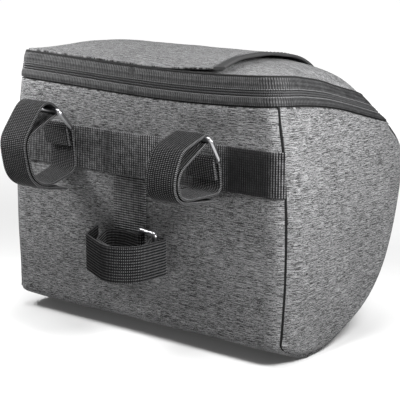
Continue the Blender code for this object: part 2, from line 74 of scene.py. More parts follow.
# Zip band and lid
TAPE = 0.0016
BAND_HEIGHT = 0.020
BAND_STITCH = 0.0016
LID_BACK_LEAN = 0.0015
LID_FRONT_LEAN = 0.016
LID_SIDE_LEAN = 0.012
LID_BACK_RADIUS = 0.014
LID_FRONT_RADIUS = 0.028
LID_CROWN = 0.0195
LID_RIGHT_DROP = 0.17
LID_LEFT_FULLNESS = 14
LID_RIGHT_FULLNESS = 8
LID_HEM_COLUMN = 44
POCKET_EDGE = 0.077
POCKET_CLOTH = 0.0012
POCKET_SLACK = 0.0038
POCKET_REACH = 0.070
BINDING_WIDTH = 0.010
BINDING_TAPE = 0.0018
BINDING_LIFT = 0.0004

# Steps across the flat part of the back and the front panel, and along a rim's side and its front corner
FLAT_STEPS = 14
SIDE_STEPS = 24
FRONT_CORNER_STEPS = 14

SIDES = (("left", -1), ("right", 1))

# Webbing and straps
WEBBING_WIDTH = 0.030
WEBBING = 0.0016
WEBBING_RAMP = 0.006
WEBBING_HEIGHT = 0.129
WEBBING_TAIL = 0.052
# Painted shade: distances along the crosswise webbing between which its colour is darkened for the right loop's
# shadow
WEBBING_PAINTED_SHADE = (0.205, 0.247)
UPRIGHT_OFFSET = -0.0035
STRAP_WIDTH = 0.025
STRAP = 0.0016
RING_WIRE = 0.0030
RING_SIDE_ROOM = 0.0010
BAR_STRAP_SPACING = 0.133
BAR_STRAP_HEIGHT = 0.105
BAR_STRAP_STEP = 0.0075
STEM_STRAP_OFFSET = 0.003
STEM_STRAP_HEIGHT = 0.0635
LOOP_DEPTH = 0.0475
LOOP_RISE = 0.0570

# Side outline of the body, from the zip at the back, round the base and up to the zip at the front.
# depth is a share of BODY_DEPTH, height of BACK_HEIGHT and edge of CORNER_RADIUS.
Section = namedtuple("Section", "depth height edge")
OUTLINE = [Section(*row) for row in (
    (0.000, 1.000, 0.68),
    (0.000, 0.720, 0.68),
    (0.000, 0.430, 0.68),
    (0.000, 0.200, 0.64),
    (0.000, 0.095, 0.45),
    (0.020, 0.066, 0.32),
    (0.060, 0.048, 0.28),
    (0.117, 0.027, 0.28),
    (0.175, 0.009, 0.30),
    (0.234, 0.000, 0.34),
    (0.325, 0.001, 0.40),
    (0.430, 0.021, 0.45),
    (0.590, 0.081, 0.55),
    (0.708, 0.156, 0.64),
    (0.797, 0.240, 0.73),
    (0.858, 0.330, 0.82),
    (0.928, 0.480, 0.91),
    (0.986, 0.640, 1.00),
    (0.995, 0.735, 1.00),
    (0.974, 0.805, 1.00),
    (0.896, 0.867, 1.00),
)]
LAST_ROW = len(OUTLINE) - 1
BASE_SEAM_ROW = 9
SIDE_HEEL_ROW = 7
SIDE_TOE_ROW = 13
ZIP_FRONT_DEPTH = OUTLINE[LAST_ROW].depth * BODY_DEPTH
LID_FRONT_DEPTH = ZIP_FRONT_DEPTH - LID_FRONT_LEAN
LID_WIDTH = BODY_WIDTH - 2 * LID_SIDE_LEAN

# Half width of the body against height, as shares of BACK_HEIGHT and of half BODY_WIDTH
Waist = namedtuple("Waist", "height width")
WAIST = [Waist(*row) for row in (
    (0.00, 0.955),
    (0.07, 0.965),
    (0.17, 0.983),
    (0.35, 1.000),
    (0.55, 1.000),
    (0.72, 0.990),
    (0.84, 0.975),
    (0.92, 0.957),
    (1.00, 0.942),
    (1.12, 0.910),
)]

# The band's lower and upper edge against depth, as shares of BODY_DEPTH and BACK_HEIGHT
Brim = namedtuple("Brim", "depth lower upper")
BRIM = [Brim(*row) for row in (
    (0.00, 1.000, 1.116),
    (0.10, 0.994, 1.106),
    (0.20, 0.986, 1.093),
    (0.34, 0.970, 1.070),
    (0.46, 0.950, 1.040),
    (0.60, 0.918, 1.009),
    (0.71, 0.893, 0.980),
    (0.79, 0.877, 0.961),
    (0.90, 0.867, 0.951),
)]

# Strap loops as in the solids: circles that the strap bends round, in shares of depth and rise
Bend = namedtuple("Bend", "out along bend")
Loop = namedtuple("Loop", "name x z turned depth rise near_leg far_leg heel inner outer tip")
LOOPS = (
    Loop(name="left", x=-BAR_STRAP_SPACING / 2, z=BAR_STRAP_HEIGHT, turned=False, depth=1.0, rise=1.0,
         near_leg=(0.120, 0.665), far_leg=(0.385, 0.895), heel=(0.190, 0.20),
         inner=(Bend(0.560, 0.300, 0.68), Bend(0.745, 0.510, 0.42)),
         outer=(Bend(0.540, 0.860, 0.34), Bend(0.745, 0.510, 0.51), Bend(0.560, 0.300, 0.77)),
         tip=(0.190, -0.090)),
    Loop(name="right", x=BAR_STRAP_SPACING / 2, z=BAR_STRAP_HEIGHT + BAR_STRAP_STEP, turned=False,
         depth=0.926, rise=0.737,
         near_leg=(0.115, 0.530), far_leg=(0.330, 0.895), heel=(0.100, 0.16),
         inner=(Bend(0.780, 0.210, 0.34), Bend(0.775, 0.325, 0.34)),
         outer=(Bend(0.725, 0.610, 0.32), Bend(0.775, 0.325, 0.43), Bend(0.780, 0.210, 0.43)),
         tip=(0.060, -0.120)),
    Loop(name="stem", x=STEM_STRAP_OFFSET, z=STEM_STRAP_HEIGHT, turned=True, depth=0.937, rise=1.228,
         near_leg=(0.055, 0.100), far_leg=(0.150, 0.350), heel=(-0.243, 0.20),
         inner=(Bend(0.550, -0.005, 0.36), Bend(0.635, 0.260, 0.56)),
         outer=(Bend(0.210, 0.405, 0.24), Bend(0.655, 0.255, 0.68), Bend(0.490, -0.185, 0.36)),
         tip=(0.010, -0.510)),
)

# Soft dents and folds of the cloth: where on the back panel, how far they reach and how deep they are
Dent = namedtuple("Dent", "x z reach_x reach_z depth")
BACK_DENTS = [Dent(*row) for row in (
    (0.090, 0.158, 0.030, 0.0035, 0.0008),
    (0.083, 0.150, 0.024, 0.0030, 0.0010),
    (0.094, 0.143, 0.020, 0.0030, -0.0007),
    (0.020, 0.158, 0.060, 0.0060, -0.0006),
    (-0.030, 0.030, 0.070, 0.0120, 0.0010),
)]

# Size and place of each lamp, the spot that they are aimed at, and the camera with its yaw, pitch and roll
LAMPS = {
    "left": (0.08, (-0.22, -0.15, 0.24)),
    "right": (0.12, (0.36, -0.11, 0.30)),
    "top": (0.9, (0.0, 0.0, 1.3)),
}
LAMP_AIM = Vector((0.0, 0.0, 0.09))
CAMERA_SPOT = (0.6127, -0.7220, 0.2780)
CAMERA_TURNS = (39.7, 11.3, 0.24)


def colour_setting(name, description, shade):
    return FloatVectorProperty(name=name, description=description, subtype="COLOR", default=shade, min=0, max=1)


def length_setting(name, description, size, least):
    return FloatProperty(name=name, description=description, unit="LENGTH", default=size, min=least)


def power_setting(name, description, amount, unit="NONE"):
    return FloatProperty(name=name, description=description, unit=unit, default=amount, min=0)


class ClothSettings(bpy.types.PropertyGroup):
    """Heather cloth of the panels and the lid."""
    light: colour_setting("Light yarn", "Colour of the light yarns", (0.180, 0.180, 0.183))
    dark: colour_setting("Dark yarn", "Colour of the dark yarns", (0.004, 0.004, 0.0042))
    slub_length: length_setting("Slub length", "Length of a streak of yarn", 0.0080, 0.001)
    slub_height: length_setting("Slub height", "Height of a streak of yarn", 0.00038, 0.0002)
    wrinkle: length_setting("Wrinkle height", "Height of the soft waves in the padding", 0.0007, 0)


class TrimSettings(bpy.types.PropertyGroup):
    """Zip band, binding, webbing, straps and metal."""
    band: colour_setting("Band", "Colour of the zip band", (0.009, 0.009, 0.0093))
    binding: colour_setting("Binding", "Colour of the pocket's binding", (0.024, 0.024, 0.0245))
    webbing: colour_setting("Webbing", "Colour of the webbing on the back", (0.003, 0.003, 0.0032))
    strap: colour_setting("Straps", "Colour of the strap loops", (0.004, 0.004, 0.0042))
    thread: colour_setting("Thread", "Colour of the pale threads in the weave", (0.16, 0.16, 0.163))
    metal: colour_setting("Metal", "Colour of the rings and the slider", (0.38, 0.38, 0.39))
    rib: length_setting("Rib pitch", "Distance between the ribs of the webbing", 0.0017, 0.0005)
    strap_rib: length_setting("Strap rib pitch", "Distance between the ribs of the straps", 0.0012, 0.0005)
    tooth: length_setting("Tooth pitch", "Distance between the teeth of the zip's coil", 0.0014, 0.0005)


class StageSettings(bpy.types.PropertyGroup):
    """Floor, lights and camera."""
    floor: colour_setting("Floor", "Colour of the floor", (0.50, 0.50, 0.50))
    floor_glow: power_setting("Floor glow", "Light that the white floor gives by itself", 0.05)
    far_glow: power_setting("Background glow", "Light that the floor gives far behind the bag", 0.90)
    left_power: power_setting("Left light", "Power of the light on the strapped side", 1.2, "POWER")
    right_power: power_setting("Right light", "Power of the light on the bag's right side", 3.6, "POWER")
    top_power: power_setting("Top light", "Power of the large light above", 22.0, "POWER")
    sky: power_setting("Sky", "Strength of the even light from all round", 0.20)
    lens: FloatProperty(name="Lens", description="Focal length of the camera", unit="CAMERA",
                        default=119.83, min=1)


class Value:
    """A number that varies over a surface. Python's operators on it add the Math nodes."""

    def __init__(self, finish, socket):
        self.finish = finish
        self.socket = socket

    def join(self, operation, first, second=0.0):
        node = self.finish.node("ShaderNodeMath", {"operation": operation}, {0: first, 1: second})
        return Value(self.finish, node.outputs[0])

    def __add__(self, other):
        return self.join("ADD", self, other)

    def __radd__(self, other):
        return self.join("ADD", other, self)

    def __sub__(self, other):
        return self.join("SUBTRACT", self, other)

    def __rsub__(self, other):
        return self.join("SUBTRACT", other, self)

    def __mul__(self, other):
        return self.join("MULTIPLY", self, other)

    def __rmul__(self, other):
        return self.join("MULTIPLY", other, self)

    def __abs__(self):
        return self.join("ABSOLUTE", self)

    def sine(self):
        return self.join("SINE", self)

    def between(self, low, high):
        """0 below low, 1 above high and a straight rise between them."""
        node = self.finish.node("ShaderNodeMapRange", {"clamp": True},
                                {"Value": self, "From Min": low, "From Max": high})
        return Value(self.finish, node.outputs[0])


class Finish:
    """One material made of nodes."""

    def __init__(self, name, roughness, metallic=0.0, sheen=0.0, gloss=0.2):
        self.material = bpy.data.materials.new(name)
        self.material.use_nodes = True
        self.tree = self.material.node_tree
        self.shader = self.tree.nodes["Principled BSDF"]
        self.feed(self.shader.inputs["Roughness"], roughness)
        self.feed(self.shader.inputs["Metallic"], metallic)
        self.shader.inputs["Sheen Weight"].default_value = sheen
        self.shader.inputs["Specular IOR Level"].default_value = gloss

    def feed(self, socket, value):
        if isinstance(value, Value):
            value = value.socket
        if isinstance(value, bpy.types.NodeSocket):
            self.tree.links.new(value, socket)
        else:
            socket.default_value = value

    def node(self, kind, settings=None, inputs=None):
        """Adds a node: its settings are set first, then the values or links of its sockets."""
        made = self.tree.nodes.new(kind)
        for key, value in (settings or {}).items():
            setattr(made, key, value)
        for key, value in (inputs or {}).items():
            self.feed(made.inputs[key], value)
        return made

    def place(self):
        return self.node("ShaderNodeTexCoord").outputs["Object"]

    def grain(self, sizes, detail=2.0, place=None):
        """Noise whose grains have these sizes along x, y and z, about 0 on average."""
        scaled = self.node("ShaderNodeVectorMath", {"operation": "MULTIPLY"},
                           {0: place or self.place(), 1: [1 / size for size in sizes]})
        cloud = self.node("ShaderNodeTexNoise", {}, {"Vector": scaled.outputs[0], "Scale": 1.0,
                                                     "Detail": detail, "Roughness": 0.6})
        return Value(self, cloud.outputs[0]) - 0.5

    def across(self, name):
        """A measure stored on the mesh, such as the distance along a strap."""
        return Value(self, self.node("ShaderNodeAttribute", {"attribute_name": name}).outputs["Fac"])

    def blend(self, factor, first, second):
        mixed = self.node("ShaderNodeMix", {"data_type": "RGBA"},
                          {0: factor, 6: (*first, 1.0), 7: (*second, 1.0)})
        return mixed.outputs[2]

    def paint(self, amount, low, high):
        """Base colour that goes from low to high as the amount goes from 0 to 1."""
        self.feed(self.shader.inputs["Base Color"], self.blend(amount.between(0.0, 1.0), low, high))

    def relief(self, height, depth, strength=1.0):
        bump = self.node("ShaderNodeBump", {}, {"Height": height, "Distance": depth, "Strength": strength})
        self.feed(self.shader.inputs["Normal"], bump.outputs["Normal"])


def heather_finish(name, cloth):
    """Woven cloth of mixed light and dark yarns, with streaks along the yarn."""
    finish = Finish(name, 0.85, sheen=0.03)
    place = finish.node("ShaderNodeCombineXYZ", {}, {0: finish.across("along"), 1: finish.across("across")})

    def yarn(length, height, detail=1.0):
        sizes = (cloth.slub_length * length, cloth.slub_height * height, 1.0)
        return finish.grain(sizes, detail, place.outputs[0])

    slubs, fibres, flecks, streaks = yarn(1.0, 1.0), yarn(0.35, 0.8), yarn(0.10, 1.2), yarn(5.0, 1.8)
    clouds = yarn(4.0, 60.0, 2.0)
    mixed = 0.42 + slubs * 3.0 + fibres * 2.7 + flecks * 2.2 + streaks * 1.0 + clouds * 0.25
    finish.paint(mixed, cloth.dark, cloth.light)
    finish.relief(slubs + fibres * 0.8 + flecks * 0.6, 0.0003, 0.6)
    return finish.material


def ribbed_finish(name, colour, pale, rib, thread, paleness, roughness=0.75, painted_shade=None):
    """Webbing or tape whose ribs cross it, with pale threads; between two distances the pale threads are
    darkened away as painted shade for a loop's shadow.
    """
    finish = Finish(name, roughness, gloss=0.1)
    ribs = (finish.across("along") * (2 * pi / rib)).sine()
    threads = (finish.across("across") * (2 * pi / thread)).sine()
    wear = finish.grain((0.004, 0.004, 0.004), 3.0)
    mixed = ribs.between(-0.4, 1.0) * (threads * 0.35 + 0.65) * paleness + wear * paleness * 1.2
    # Painted shade: the stretch between the two distances is darkened to stand for a loop's shadow
    if painted_shade:
        along = finish.across("along")
        start, end = (along.between(distance - 0.006, distance + 0.006) for distance in painted_shade)
        mixed = mixed * (1 - (start - end) * 0.92)
    finish.paint(mixed, colour, pale)
    finish.relief(ribs * 0.5 + threads * 0.25 + wear * 0.5, 0.0003, 0.8)
    return finish.material


def strap_finish(name, colour, pale, rib):
    """Hook-and-loop strap: a close grid of small pale dashes, paler along its two edges."""
    finish = Finish(name, 0.75, gloss=0.08)
    ribs = (finish.across("along") * (2 * pi / rib)).sine()
    columns = (finish.across("across") * (2 * pi / (STRAP_WIDTH / 13))).sine()
    edge = abs(finish.across("across")).between(STRAP_WIDTH * 0.486, STRAP_WIDTH * 0.492)
    wear = finish.grain((0.0018, 0.0018, 0.0018), 2.0)
    dashes = ribs.between(0.0, 0.9) * columns.between(0.0, 0.7)
    mixed = dashes * 0.75 + edge * (0.16 + ribs * 0.16) + wear * 0.30
    finish.paint(mixed, colour, pale)
    finish.relief(ribs * 0.5 + columns * 0.4, 0.0003, 0.9)
    return finish.material


def plain_weave_finish(name, colour, roughness, tone):
    """Smooth tape or thread with a faint fleck."""
    finish = Finish(name, roughness)
    fleck = finish.grain((0.0010, 0.0030, 0.0010), 3.0)
    paler = [min(1.0, part * tone) for part in colour]
    darker = [part / tone for part in colour]
    finish.paint(0.5 + fleck * 1.6, darker, paler)
    finish.relief(fleck, 0.0002, 0.6)
    return finish.material


def metal_finish(name, colour):
    """Bright plated wire with faint smears."""
    finish = Finish(name, 0.30, metallic=1.0)
    rub = finish.grain((0.006, 0.006, 0.002), 3.0)
    finish.feed(finish.shader.inputs["Roughness"], 0.30 + rub * 0.18)
    finish.paint(0.5 + rub * 1.5, [part * 0.82 for part in colour], colour)
    finish.relief(rub, 0.00005, 0.3)
    return finish.material


def clamp(value, low=0.0, high=1.0):
    return min(max(value, low), high)


def spline_at(rows, t):
    """Point on the Catmull-Rom curve through the rows, with t counted in rows."""
    last = len(rows) - 1
    i = min(int(t), last - 1)
    f = t - i
    a, b, c, d = (rows[clamp(i + k, 0, last)] for k in (-1, 0, 1, 2))
    return tuple(0.5 * (2 * q + (r - p) * f + (2 * p - 5 * q + 4 * r - s) * f ** 2
                        + (3 * q - p - 3 * r + s) * f ** 3) for p, q, r, s in zip(a, b, c, d))


def graph_at(rows, x, column):
    """Value of a column at x, on a smooth curve through rows whose first column rises."""
    last = len(rows) - 1
    x = clamp(x, rows[0][0], rows[last][0])
    i = max(k for k in range(last) if rows[k][0] <= x)

    def slope(k):
        low, high = rows[max(k - 1, 0)], rows[min(k + 1, last)]
        return (high[column] - low[column]) / (high[0] - low[0])

    span = rows[i + 1][0] - rows[i][0]
    f = (x - rows[i][0]) / span
    rise = rows[i + 1][column] - rows[i][column]
    lead, trail = slope(i) * span - rise, rise - slope(i + 1) * span
    return rows[i][column] + f * rise + f * (1 - f) * (lead * (1 - f) + trail * f)


def half_width(z):
    return graph_at(WAIST, z / BACK_HEIGHT, 1) * BODY_WIDTH / 2


def brim_height(y, level):
    """Height of the zip band at depth y; level 0 is its lower edge and 1 its upper edge."""
    lower = graph_at(BRIM, y / BODY_DEPTH, 1) * BACK_HEIGHT
    upper = graph_at(BRIM, y / BODY_DEPTH, 2) * BACK_HEIGHT
    return lower + (upper - lower) * level


def back_dip(x, y):
    """How far the rim sinks along the back, most on the right of its middle."""
    share = clamp(x / BODY_WIDTH + 0.5)
    return BACK_DIP * sin(pi * share ** 1.5) * max(0.0, 1 - y / CORNER_RADIUS)


def outline_rows(first, last, steps):
    """Side outline between two table rows: point, outward normal and edge radius."""
    def spot(t):
        depth, height, edge = spline_at(OUTLINE, clamp(t, 0.0, float(LAST_ROW)))
        return Vector((max(depth, 0.0) * BODY_DEPTH, max(height, 0.0) * BACK_HEIGHT)), edge * CORNER_RADIUS

    rows = []
    for k in range((last - first) * steps + 1):
        t = first + k / steps
        point, edge = spot(t)
        tangent = spot(t + 0.2)[0] - spot(t - 0.2)[0]
        normal = Vector((tangent.y, -tangent.x)).normalized()
        level = max(0.0, (t - LAST_ROW + 2) / 2)
        rows.append((point, normal.lerp(Vector((1.0, 0.0)), level).normalized(), edge))
    return rows


def edge_point(row, angle, inset=0.0):
    """Point on the rounded edge between the wrap and a side: angle 0 is the wrap, 90 degrees the side."""
    point, normal, edge = row
    spot = point - normal * (inset + (edge - inset) * (1 - cos(angle)))
    return Vector((half_width(spot.y) - edge + (edge - inset) * sin(angle), spot.x, spot.y))


FINE_OUTLINE = outline_rows(0, LAST_ROW, 6)


def side_x(y, z, inset):
    """Distance from the middle plane to a side panel's outer face, or its inner one at an inset."""
    spot = Vector((y, z))
    near, edge = min(((spot - point).dot(-normal) if abs((spot - point).cross(normal)) < 0.003
                      else (spot - point).length, edge) for point, normal, edge in FINE_OUTLINE)
    short = max(0.0, edge - near)
    return half_width(z) - edge + sqrt(max((edge - inset) ** 2 - short ** 2, 0.0))


def running_lengths(points):
    """Distance along a polyline to each of its points."""
    lengths = [0.0]
    for p, q in zip(points, points[1:]):
        lengths.append(lengths[-1] + (q - p).length)
    return lengths


def share_lengths(points):
    """Share of a polyline's length that lies before each of its points."""
    lengths = running_lengths(points)
    return [length / lengths[-1] for length in lengths]


def between(values, t):
    """Value at a place counted in steps along a list."""
    i = min(int(t), len(values) - 2)
    return values[i] + (values[i + 1] - values[i]) * (t - i)


def even_path(points, spacing, closed=False):
    """The same polyline with points at even distances."""
    if closed:
        points = points + points[:1]
    lengths = running_lengths(points)
    count = max(2, round(lengths[-1] / spacing))
    made, i = [], 0
    for k in range(count + (0 if closed else 1)):
        want = lengths[-1] * k / count
        while i < len(points) - 2 and lengths[i + 1] < want:
            i += 1
        span = lengths[i + 1] - lengths[i]
        made.append(points[i].lerp(points[i + 1], (want - lengths[i]) / span if span else 0.0))
    return made


def softly(point, size, height, seed=0.0):
    """Smooth noise of a size and height, the same at each run."""
    return height * noise.noise(Vector(point) / size + Vector((seed, seed * 1.7, seed * 2.3)))


def place(point):
    """Moves a point to the frame, with the slight slump of the soft bag to its right."""
    foot = max(0.0, 1 - point.z / FOOT_HEIGHT) ** 2
    side = abs(2 * point.x / BODY_WIDTH) ** 3
    tilt = (point.z / BACK_HEIGHT) ** 2 * point.x / BODY_WIDTH
    return Vector((point.x + FOOT_SHIFT * foot + SIDE_SHIFT * side, point.y + BACK_PLANE,
                   point.z - RIM_TILT * tilt))


def surface_normals(grid):
    """Unit normal at each point of a grid."""
    last_row, last_column = len(grid) - 1, len(grid[0]) - 1
    normals = []
    for i in range(last_row + 1):
        line = []
        for j in range(last_column + 1):
            across = grid[i][min(j + 1, last_column)] - grid[i][max(j - 1, 0)]
            along = grid[min(i + 1, last_row)][j] - grid[max(i - 1, 0)][j]
            line.append(across.cross(along).normalized())
        normals.append(line)
    return normals


def add_object(name, data):
    made = bpy.data.objects.new(name, data)
    bpy.context.scene.collection.objects.link(made)
    return made


def add_piece(name, mesh, finish, replaced=(), smooth_angle=50.0):
    """Turns a mesh into a piece that rides on the bag and stands for its solids."""
    bmesh.ops.recalc_face_normals(mesh, faces=mesh.faces)
    data = bpy.data.meshes.new(name)
    mesh.to_mesh(data)
    mesh.free()
    data.shade_smooth()
    data.set_sharp_from_angle(angle=radians(smooth_angle))
    data.materials.append(finish)
    piece = add_object(name, data)
    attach(piece, "root")
    if replaced:
        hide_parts(*replaced)
    return piece


def round_off(piece, levels=1):
    rounding = piece.modifiers.new("rounding", "SUBSURF")
    rounding.levels = levels
    rounding.render_levels = levels
    return piece


def cloth_piece(name, grids, yarn, finish, node):
    """Padded piece of heather cloth between two grids of points."""
    piece = add_piece(name, shell_mesh(*grids, yarn), finish, [node], 180.0)
    round_off(piece)


def wrap_yarn(grid):
    """Place of each point of a wrapped panel on its flat cloth."""
    middle = len(grid[0]) // 2
    downs = running_lengths([line[middle] for line in grid])
    return [[(spot.x, down) for spot in line] for line, down in zip(grid, downs)]


def shell_mesh(outer, inner, yarn=None):
    """Closed mesh between two grids of points; yarn is each point's place on the flat cloth."""
    mesh = bmesh.new()
    layers = [mesh.verts.layers.float.new(name) for name in ("along", "across")]
    skins = [[[mesh.verts.new(place(point)) for point in line] for line in grid] for grid in (outer, inner)]
    for skin in skins if yarn else ():
        for line, spots in zip(skin, yarn):
            for vert, spot in zip(line, spots):
                vert[layers[0]], vert[layers[1]] = spot
    rows, columns = len(outer), len(outer[0])
    for skin, order in zip(skins, (1, -1)):
        for low, high in zip(skin, skin[1:]):
            for k in range(columns - 1):
                mesh.faces.new((low[k], low[k + 1], high[k + 1], high[k])[::order])
    rim = [(0, k) for k in range(columns)] + [(k, columns - 1) for k in range(1, rows)]
    rim += [(rows - 1, k) for k in range(columns - 2, -1, -1)] + [(k, 0) for k in range(rows - 2, 0, -1)]
    out, back = skins
    for (i, j), (m, n) in zip(rim, rim[1:] + rim[:1]):
        mesh.faces.new((out[m][n], out[i][j], back[i][j], back[m][n]))
    return mesh


def loft(mesh, rings, closed=False):
    """Joins rings of vertices one to the next, and caps the two ends unless the last meets the first."""
    for low, high in zip(rings, rings[1:] + (rings[:1] if closed else [])):
        for k in range(len(low)):
            n = (k + 1) % len(low)
            mesh.faces.new((low[k], low[n], high[n], high[k]))
    if not closed:
        mesh.faces.new(rings[0])
        mesh.faces.new(rings[-1][::-1])


def sweep_mesh(rings, closed, measures=None):
    """Closed mesh through rings of points; measures are the along and across values of each ring's points."""
    mesh = bmesh.new()
    layers = [mesh.verts.layers.float.new(name) for name in ("along", "across")] if measures else []
    rows = []
    for i, ring in enumerate(rings):
        row = []
        for j, point in enumerate(ring):
            vert = mesh.verts.new(place(point))
            for layer, value in zip(layers, (measures[0][i], measures[1][j]) if measures else ()):
                vert[layer] = value
            row.append(vert)
        rows.append(row)
    loft(mesh, rows, closed)
    return mesh


def tube_rings(path, radii, sides, closed):
    """Rings of a round tube along a path, carried along without twisting."""
    count = len(path)
    rings = []
    side = None
    for i, point in enumerate(path):
        ahead = path[(i + 1) % count] if closed else path[min(i + 1, count - 1)]
        behind = path[i - 1] if closed or i else path[0]
        way = (ahead - behind).normalized()
        if side is None:
            side = way.orthogonal().normalized()
        side = (side - way * side.dot(way)).normalized()
        up = way.cross(side)
        radius = radii[i % len(radii)]
        rings.append([point + (side * cos(2 * pi * k / sides) + up * sin(2 * pi * k / sides)) * radius
                      for k in range(sides)])
    return rings


def tube_piece(name, path, radii, sides, closed, finish, replaced=(), smooth_angle=50.0):
    """Cord or wire along a path, whose radii follow one another over and over."""
    rings = tube_rings(path, radii, sides, closed)
    add_piece(name, sweep_mesh(rings, closed), finish, replaced, smooth_angle)


def woven_strip(name, path, widthways, width, thickness, rib, finish, replaced=(), sway=None):
    """Webbing with real ribs along a path; sway shifts it sideways by a share of its length."""
    spots = even_path(path, rib / 4)
    count = len(spots)
    spacing = (spots[1] - spots[0]).length
    shares = (-1.0, -0.985, -0.93, -0.6, -0.2, 0.2, 0.6, 0.93, 0.985, 1.0)
    full = (0.30, 0.85, 1.0, 1.0, 1.0, 1.0, 1.0, 1.0, 0.85, 0.30)
    rings = []
    for i, spot in enumerate(spots):
        way = (spots[min(i + 1, count - 1)] - spots[max(i - 1, 0)]).normalized()
        normal = way.cross(widthways)
        ridge = 1 + 0.22 * sin(pi / 2 * i)
        shift = widthways * (sway(i / (count - 1)) if sway else 0.0)
        top, low = ([spot + shift + widthways * (width / 2 * share) + normal * (face * tall * ridge)
                     for share, tall in zip(shares, full)] for face in (thickness / 2, -thickness / 2))
        rings.append(top + low[::-1])
    across = [width / 2 * share for share in shares]
    measures = ([spacing * i for i in range(count)], across + across[::-1])
    add_piece(name, sweep_mesh(rings, False, measures), finish, replaced, 80.0)


def stitch_row(name, points, finish, length=0.0030, pitch=0.0042, radius=0.00032):
    """Row of separate stitches pressed into upturned cloth along a line."""
    path = even_path(points, pitch)
    mesh = bmesh.new()
    for spot, ahead in zip(path, path[1:]):
        way = (ahead - spot).normalized()
        side = way.cross(Vector((0, 0, 1))).normalized()
        up = side.cross(way)
        rings = []
        for share, thick in ((0.0, 0.35), (0.15, 0.9), (0.5, 1.0), (0.85, 0.9), (1.0, 0.35)):
            middle = place(spot + way * (length * share)) + up * (radius * (thick - 0.9))
            rings.append([mesh.verts.new(middle + (side * cos(pi * k / 3) * 1.3 + up * sin(pi * k / 3))
                                         * radius * thick) for k in range(6)])
        loft(mesh, rings)
    add_piece(name, mesh, finish, smooth_angle=70.0)


def padding(point, distance, cloth):
    """How far the padding stands out at a distance from its nearest seam."""
    drawn_in = -0.0015 * exp(-(distance / 0.0035) ** 2)
    ease = 1 - exp(-(distance / 0.012) ** 2)
    waves = softly(point, 0.045, cloth.wrinkle) + softly(point, 0.019, cloth.wrinkle * 0.45, 4.0)
    return drawn_in + ease * waves


def back_dents(x, z):
    """How deep the back panel is dented at a spot."""
    return sum(dent.depth * exp(-((x - dent.x) / dent.reach_x) ** 2 - ((z - dent.z) / dent.reach_z) ** 2)
               for dent in BACK_DENTS)


def wrap_grids(first, last, cloth):
    """Outer and inner points of the back or the front panel."""
    outer, inner = [], []
    rows = outline_rows(first, last, 6)
    for index, (point, normal, edge) in enumerate(rows):
        share = first + index / 6
        if share == BASE_SEAM_ROW:
            along = Vector((-normal.y, normal.x)) * GAP
            point = point + (along if first else -along)
        beyond = (point.x - BASE_SAG_START) / BASE_SAG_START
        sag = BASE_SAG * clamp(beyond * 2) if first else 0.0
        turn = SEAM_ANGLE - SEAM_GROOVE / 2 / edge
        angles = [turn * part for part in (1.0, 0.97, 0.90, 0.78, 0.62, 0.44, 0.24)]
        flat = half_width(point.y) - edge
        shares = [k / FLAT_STEPS for k in range(FLAT_STEPS + 1)]
        reach = [(turn - angle) * edge for angle in angles] + [turn * edge + flat * part for part in shares]
        for skin, inset in ((outer, 0.0), (inner, WALL)):
            spot = point - normal * inset
            half = [edge_point((point, normal, edge), angle, inset) for angle in angles]
            half += [Vector((flat * (1 - part), spot.x, spot.y)) for part in shares]
            spots = list(zip(half, reach, angles + [0.0] * len(shares)))
            line = []
            for side, run in ((1, spots), (-1, spots[-2::-1])):
                for spot, distance, angle in run:
                    spot = Vector((spot.x * side, spot.y, spot.z))
                    settling = (sag * (1 - (spot.x / half[0].x) ** 4)
                                * max(0.0, 1 - 2 * spot.z / BACK_HEIGHT))
                    if share in (0, LAST_ROW):
                        spot.z = brim_height(spot.y, 0)
                    else:
                        spot.z = max(inset, spot.z - settling)
                    spot.z -= back_dip(spot.x, spot.y) * (spot.z / BACK_HEIGHT) ** 8
                    if inset == 0.0:
                        outward = Vector((sin(angle) * side, normal.x * cos(angle), normal.y * cos(angle)))
                        swell = padding(spot, distance, cloth)
                        swell *= min(1.0, min(index, len(rows) - 1 - index) / 2)
                        if spot.y < 0.004 and first == 0:
                            swell -= back_dents(spot.x, spot.z)
                        spot += outward * swell * min(1.0, spot.z / 0.006)
                    line.append(spot)
            skin.append(line)
    return outer, inner


def side_grids(side, cloth):
    """Outer and inner points of a side panel: a patch between its seams and the zip."""
    skins = []
    for inset in (0.0, WALL):
        seams = []
        for first, end in ((0, SIDE_HEEL_ROW), (SIDE_HEEL_ROW, SIDE_TOE_ROW), (SIDE_TOE_ROW, LAST_ROW)):
            seams.append([edge_point(row, SEAM_ANGLE + SEAM_GROOVE / 2 / row[2], inset)
                          for row in outline_rows(first, end, 5)])
        back, base, front = seams[0], seams[1], seams[2][::-1]
        for seam in (back, front):
            seam[0].z = brim_height(seam[0].y, 0)
        across, down = share_lengths(base), share_lengths(front)
        columns, rows = len(base) - 1, len(back) - 1
        grid = []
        for v in [*range(rows), rows - 0.6, rows - 0.25, rows]:
            line = []
            for u in [0, 0.25, 0.6, *range(1, columns), columns - 0.6, columns - 0.3, columns - 0.12, columns]:
                left, right, foot = between(back, v), between(front, v), between(base, u)
                fu, fv = between(across, u), between(down, v)
                y_top = back[0].y + (front[0].y - back[0].y) * fu
                top = Vector((0.0, y_top, brim_height(y_top, 0)))
                spot = left * (1 - fu) + right * fu + top * (1 - fv) + foot * fv
                spot -= (back[0] * (1 - fu) + front[0] * fu) * (1 - fv)
                spot -= (back[-1] * (1 - fu) + front[-1] * fu) * fv
                spot.x = side_x(spot.y, spot.z, inset)
                for edge, seam_spot in ((u == 0, left), (u == columns, right), (v == rows, foot)):
                    if edge:
                        spot = seam_spot.copy()
                if inset == 0.0 and 0 < u < columns and 0 < v < rows:
                    distance = min((spot - seam_spot).length for seam_spot in (left, right, foot))
                    spot.x += padding(spot + Vector((side, 0, 0)), distance, cloth)
                spot.x *= side
                line.append(spot)
            grid.append(line if side < 0 else line[::-1])
        skins.append(grid)
    return skins


